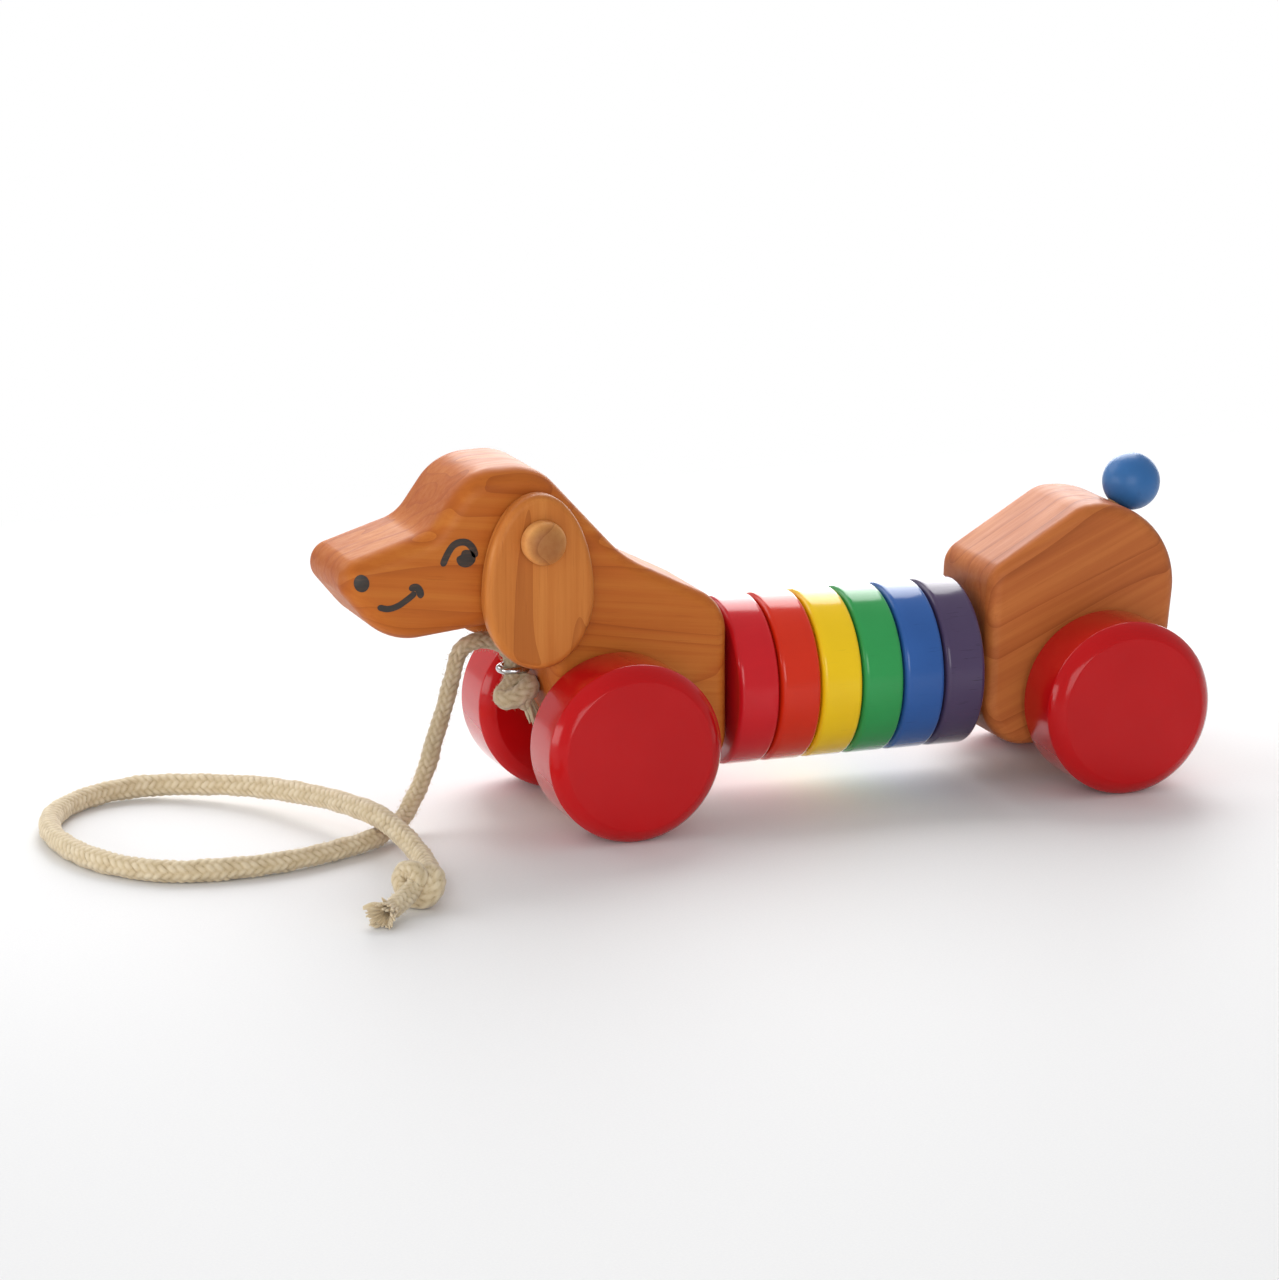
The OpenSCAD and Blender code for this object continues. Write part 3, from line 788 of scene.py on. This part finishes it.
EYE_LID = [(-49.1, 78.2), (-47.9, 80.9), (-46.1, 83.6), (-44.1, 84.6), (-42.0, 84.4),
           (-40.6, 83.2), (-39.8, 81.7), (-39.5, 80.0)]
SMILE = [(-67.9, 68.2), (-65.0, 67.4), (-62.1, 68.0), (-59.2, 69.7), (-56.8, 71.5)]
SMILE_TICK = [(-58.8, 72.5), (-56.8, 72.9), (-55.7, 71.7), (-55.4, 69.7)]
INK_LIFT = 0.06 * MM
BRUSH_ACROSS = 5
BLOB_SIDES = 48
BLOB_RINGS = (0.35, 0.7, 1.0)


def side_depth(points, outline):
    """How far the rounded-over side falls away from the flat at points (x, z)."""
    nearest = np.full(len(points), 1e9)
    for a, b in zip(outline, np.roll(outline, -1, 0)):
        way = b - a
        t = np.clip(((points - a) @ way) / (way @ way), 0, 1)
        nearest = np.minimum(nearest, np.linalg.norm(points - a - t[:, None] * way, axis=1))
    short = np.clip(HEAD_ROUND - nearest, 0, HEAD_ROUND * 0.98)
    return HEAD_ROUND - np.sqrt(HEAD_ROUND ** 2 - short ** 2)


def stroke(points, width):
    """Flat brush line as a grid of points, with round ends."""
    line = smooth_curve([(x, 0, z) for x, z in points], 10)[:, [0, 2]]
    way = np.gradient(line, axis=0)
    way /= np.linalg.norm(way, axis=1, keepdims=True)
    across = np.stack([-way[:, 1], way[:, 0]], 1)
    steps = np.linalg.norm(np.diff(line, axis=0), axis=1)
    along = np.concatenate([[0], np.cumsum(steps)])
    to_end = np.minimum(along, along[-1] - along) / (width * 0.6)
    half = width / 2 * np.sqrt(np.clip(1 - (1 - np.clip(to_end, 0, 1)) ** 2, 0.04, 1))
    n = BRUSH_ACROSS
    offsets = np.linspace(-1, 1, n)
    grid = line[:, None] + offsets[None, :, None] * (half[:, None] * across)[:, None]
    count = len(line)
    faces = [(i * n + k, i * n + k + 1, (i + 1) * n + k + 1, (i + 1) * n + k)
             for i in range(count - 1) for k in range(n - 1)]
    return grid.reshape(-1, 2), faces


def blob(centre, wide, tall, notch=0.0, lean=0.0):
    """Filled oval of ink as rings of points, with a nick at its upper left."""
    n = BLOB_SIDES
    turn = np.linspace(0, 2 * math.pi, n, endpoint=False)
    cut = 1 - notch * np.exp(-((turn - math.radians(140)) / 0.35) ** 2)
    rim = np.stack([wide / 2 * np.cos(turn) * cut, tall / 2 * np.sin(turn) * cut], 1)
    c, s = math.cos(math.radians(lean)), math.sin(math.radians(lean))
    rim = rim @ np.array([[c, s], [-s, c]])
    points = [np.zeros((1, 2))] + [rim * k for k in BLOB_RINGS]
    faces = [(0, 1 + i, 1 + (i + 1) % n) for i in range(n)]
    for ring in range(len(BLOB_RINGS) - 1):
        base = 1 + n * ring
        faces += [(base + i, base + n + i, base + n + (i + 1) % n, base + (i + 1) % n)
                  for i in range(n)]
    return np.concatenate(points) + np.array(centre), faces


def make_face(outline):
    marks = {
        "eye_lid": stroke(EYE_LID, 2.0),
        "pupil": blob((-42.2, 79.9), 5.6, 5.0, 0.3),
        "smile": stroke(SMILE, 1.8),
        "smile_tick": stroke(SMILE_TICK, 2.1),
        "nose": blob((-72.3, 75.1), 4.3, 4.9, 0.0, 10),
    }
    for side, sign in (("left", -1), ("right", 1)):
        for name, (points, faces) in marks.items():
            flat = points * MM + np.array([FRONT.x, 0])
            y = sign * (BLOCK_T / 2 - side_depth(flat, outline) + INK_LIFT)
            verts = np.stack([flat[:, 0], y, flat[:, 1]], 1)
            piece = new_piece("ink_" + name + "_" + side, verts, faces, "chassis")
            for polygon in piece.data.polygons:
                if polygon.normal.y * sign < 0:
                    polygon.flip()
            paint(piece, INK)


# Cord and knots

# Directions about as the camera sees them, level with the floor: right, nearer and up.
SEEN_RIGHT = np.array([0.9405, -0.3398, 0])
SEEN_NEAR = np.array([-0.3398, -0.9405, 0])
UPWARD = np.array([0, 0, 1.0])


def seen_from(centre, points):
    """Points given as (right, nearer, up) millimetres round a centre, as frame metres."""
    basis = np.stack([SEEN_RIGHT, SEEN_NEAR, UPWARD])
    return from_front([centre])[0] + np.array(points, float) @ basis * MM


def make_cord():
    rng = np.random.default_rng(COTTON_SEED)
    points = from_front(CORD_POINTS)
    neck = NECK_D / 2
    swell = np.clip(np.arange(len(points)) / NECK_POINTS, 0, 1) ** 2
    radii = neck + (CORD_D / 2 - neck) * swell
    cord, path = braided("braided_cord", points, radii, "chassis", ("pull_cord",))
    knot, knot_path, tail = make_anchor_knot(rng)
    end_knot, end_path, tuft = make_end_knot(rng)
    hairs = fuzz("cord_fuzz", [path, knot_path, end_path], FUZZ_COUNTS, CORD_D / 2,
                 "chassis", rng)
    for piece in (cord, knot, tail, end_knot, tuft, hairs):
        paint(piece, COTTON)


def make_anchor_knot(rng):
    """Overhand knot drawn up under the eye, with its loose end hanging behind the wheel."""
    middle = (-24.22, -1.2, 37.85)
    knot, path = braided("anchor_overhand", seen_from(middle, [
        (1.2, 0.5, 4.4), (1.0, 1.2, 2.4), (-0.6, 3.2, -0.2), (-1.8, 4.6, -1.6), (-0.2, 6.2, -2.2),
        (2.8, 6.4, -1.4), (5.2, 4.8, 0.2), (5.6, 2.2, 1.2), (3.4, 0.6, 1.0), (1.0, 1.0, -0.6),
        (1.2, 3.4, -2.0), (3.4, 5.0, -2.2), (5.6, 4.8, -3.0)]),
        [2.3 * MM, 2.7 * MM, 2.9 * MM, 2.9 * MM, 2.8 * MM], "chassis", ("anchor_knot",), sides=36)
    start = np.array((5.2, 4.6, -2.4))
    tips = []
    for turn in np.linspace(0, 2 * math.pi, 34, endpoint=False):
        reach = rng.uniform(0.5, 2.1)
        off = np.array((reach * math.cos(turn), reach * math.sin(turn), 0))
        long = rng.uniform(4.6, 7.0)
        tips.append(seen_from(middle, [
            start + off * 0.8,
            start + off + (0.9, 0.2, -0.4 * long),
            start + off * 1.25 + (1.9, 0.4, -long)]))
    tail = strands("anchor_loose_end", tips, 0.5 * MM, "chassis", ("anchor_tail",))
    return knot, path, tail


def make_end_knot(rng):
    """Overhand knot at the far end: the standing part runs down its right side, the end
    comes out toward the front and has opened into a ring of loose yarns."""
    middle = (-75.9, -79.6, 6.75)
    knot, path = braided("end_overhand", seen_from(middle, [
        (0.9, -4.4, -0.4), (3.2, -1.8, 1.6), (4.5, 1.2, 0.8), (3.9, 3.4, -1.8), (1.4, 3.4, -3.6),
        (-2.2, 1.4, -3.2), (-4.2, -0.8, -0.6), (-3.4, -1.2, 2.2), (-0.9, 0.8, 3.0),
        (0.3, 2.8, 1.4), (-0.6, 3.8, -0.6), (-2.4, 6.6, -1.8), (-4.6, 11.5, -2.8),
        (-6.2, 15.6, -3.2)]),
        [2.9 * MM, 2.9 * MM, 2.8 * MM, 2.7 * MM, 2.6 * MM], "chassis", ("end_knot",), sides=36)
    start = np.array((-6.2, 15.4, -3.2))
    out = unit(np.array((-0.36, 0.93, -0.02)))
    wide = unit(np.cross(out, (0, 0, 1.0)))
    high = np.cross(wide, out)
    tips = []
    for turn in np.linspace(0, 2 * math.pi, 54, endpoint=False):
        ring = rng.uniform(1.5, 2.4)
        spread = rng.uniform(1.0, 2.6)
        long = rng.uniform(5.0, 8.6)
        d = math.cos(turn) * wide + math.sin(turn) * high
        tips.append([start + d * ring * 0.9 - out * 1.5,
                     start + d * ring + out * long * 0.35,
                     start + d * (ring + spread * 0.5) + out * long * 0.75,
                     start + d * (ring + spread) + out * long])
    stray = start + np.array((-2.0, 3.0, 0.6))
    for k in range(4):
        lift = np.array((0, 0, 0.35 * k))
        tips.append([stray + lift, stray + lift + (-2.4, 0.8, 0.9),
                     stray + lift * 0.6 + (-5.4, 1.4, 0.6)])
    floor = -middle[2] + 0.6
    tips = [seen_from(middle, [(q[0], q[1], max(q[2], floor)) for q in yarn]) for yarn in tips]
    tuft = strands("frayed_tuft", tips, 0.52 * MM, "chassis", ("frayed_end",))
    return knot, path, tuft


# Studio

LIT_POINT = (0, 0, 0.05)
FLOOR_SIZE = 6.0
# The floor turns white to the eye between these distances behind the toy.
WHITE_FROM, WHITE_TO = 0.03, 0.45
# Light of the surround in front of the toy and behind it.
WORLD_DIM, WORLD_BRIGHT = 0.5, 0.54
SENSOR_WIDTH = 36


def make_camera():
    data = bpy.data.cameras.new("photo_camera")
    data.sensor_width = SENSOR_WIDTH
    data.lens = CAMERA_LENS
    data.clip_start, data.clip_end = 0.05, 50
    camera = bpy.data.objects.new("photo_camera", data)
    right, up = Vector(CAMERA_RIGHT), Vector(CAMERA_UP)
    back = right.cross(up)
    camera.matrix_world = Matrix((
        (right.x, up.x, back.x, CAMERA_AT[0]),
        (right.y, up.y, back.y, CAMERA_AT[1]),
        (right.z, up.z, back.z, CAMERA_AT[2]),
        (0, 0, 0, 1)))
    bpy.context.scene.collection.objects.link(camera)
    bpy.context.scene.camera = camera


def make_floor():
    size = FLOOR_SIZE
    mesh = bpy.data.meshes.new("studio_floor")
    mesh.from_pydata([(-size, -size, 0), (size, -size, 0), (size, size, 0), (-size, size, 0)],
                     [], [(0, 1, 2, 3)])
    floor = bpy.data.objects.new("studio_floor", mesh)
    bpy.context.scene.collection.objects.link(floor)
    f = Finish("studio_paper")
    tooth = f.noise(f.place(), 1500.0, 2.0, 0.5)
    f.set(Base_Color=f.mix(f.level(tooth, 0.3, 0.7), srgb(228, 228, 229), srgb(231, 231, 231)),
          Roughness=0.6, Specular_IOR_Level=0.1)
    f.bump(tooth, 0.03, 0.0001)
    coords = f.add("TexCoord").outputs["Object"]
    y = f.add("SeparateXYZ", {"Vector": coords}).outputs["Y"]
    far = f.level(y, WHITE_FROM, WHITE_TO)
    ray = f.add("LightPath").outputs
    seen = f.math("MAXIMUM", ray["Is Camera Ray"], ray["Is Glossy Ray"])
    glow = f.add("Emission", {"Color": (1, 1, 1, 1), "Strength": 1.0}).outputs[0]
    blend = f.add("MixShader", {0: f.math("MULTIPLY", far, seen)})
    f.put(blend.inputs[1], f.shader.outputs[0])
    f.put(blend.inputs[2], glow)
    f.put(f.tree.nodes["Material Output"].inputs["Surface"], blend.outputs[0])
    mesh.materials.append(f.material)


def make_world():
    """White surround: full white to the camera, dimmer on the camera's side for the rest."""
    world = bpy.data.worlds.new("studio_world")
    bpy.context.scene.world = world
    world.use_nodes = True
    tree = world.node_tree
    path = tree.nodes.new("ShaderNodeLightPath")
    coords = tree.nodes.new("ShaderNodeTexCoord")
    axes = tree.nodes.new("ShaderNodeSeparateXYZ")
    tree.links.new(coords.outputs["Generated"], axes.inputs["Vector"])
    around = tree.nodes.new("ShaderNodeMapRange")
    around.interpolation_type = "SMOOTHSTEP"
    for name, value in (("From Min", -0.7), ("From Max", 0.5),
                        ("To Min", WORLD_DIM), ("To Max", WORLD_BRIGHT)):
        around.inputs[name].default_value = value
    tree.links.new(axes.outputs["Y"], around.inputs["Value"])
    strength = tree.nodes.new("ShaderNodeMix")
    strength.inputs[3].default_value = 1.0
    tree.links.new(path.outputs["Is Camera Ray"], strength.inputs["Factor"])
    tree.links.new(around.outputs["Result"], strength.inputs[2])
    background = tree.nodes["Background"]
    background.inputs["Color"].default_value = (1, 1, 1, 1)
    tree.links.new(strength.outputs[0], background.inputs["Strength"])


def area_light(name, at, size, power):
    """White softbox of the given size that points at the toy."""
    data = bpy.data.lights.new(name, "AREA")
    data.shape = "RECTANGLE"
    data.size, data.size_y = size
    data.energy = power
    light = bpy.data.objects.new(name, data)
    light.location = at
    way = Vector(LIT_POINT) - Vector(at)
    light.rotation_euler = way.to_track_quat("-Z", "Y").to_euler()
    light.visible_camera = False
    bpy.context.scene.collection.objects.link(light)


def make_lights():
    area_light("back_softbox", (0.28, 0.8, 0.7), (0.66, 0.9), 10.0)
    area_light("back_left_softbox", (-0.6, 0.7, 0.75), (0.7, 0.7), 3.0)
    area_light("low_back_panel", (0.6, 1.15, 0.2), (1.3, 0.4), 4.6)
    area_light("left_softbox", (-1.25, 0.0, 0.24), (0.8, 0.36), 4.4)
    area_light("front_fill", (-0.45, -1.35, 0.42), (0.9, 0.6), 6.2)


make_camera()
make_cord()
outline = make_blocks()
make_ears()
make_pegs()
make_wheels()
make_discs()
make_tail()
make_eye()
finish_hidden_dowels()
make_face(outline)
make_floor()
make_world()
make_lights()
bpy.context.scene.view_settings.view_transform = "Standard"
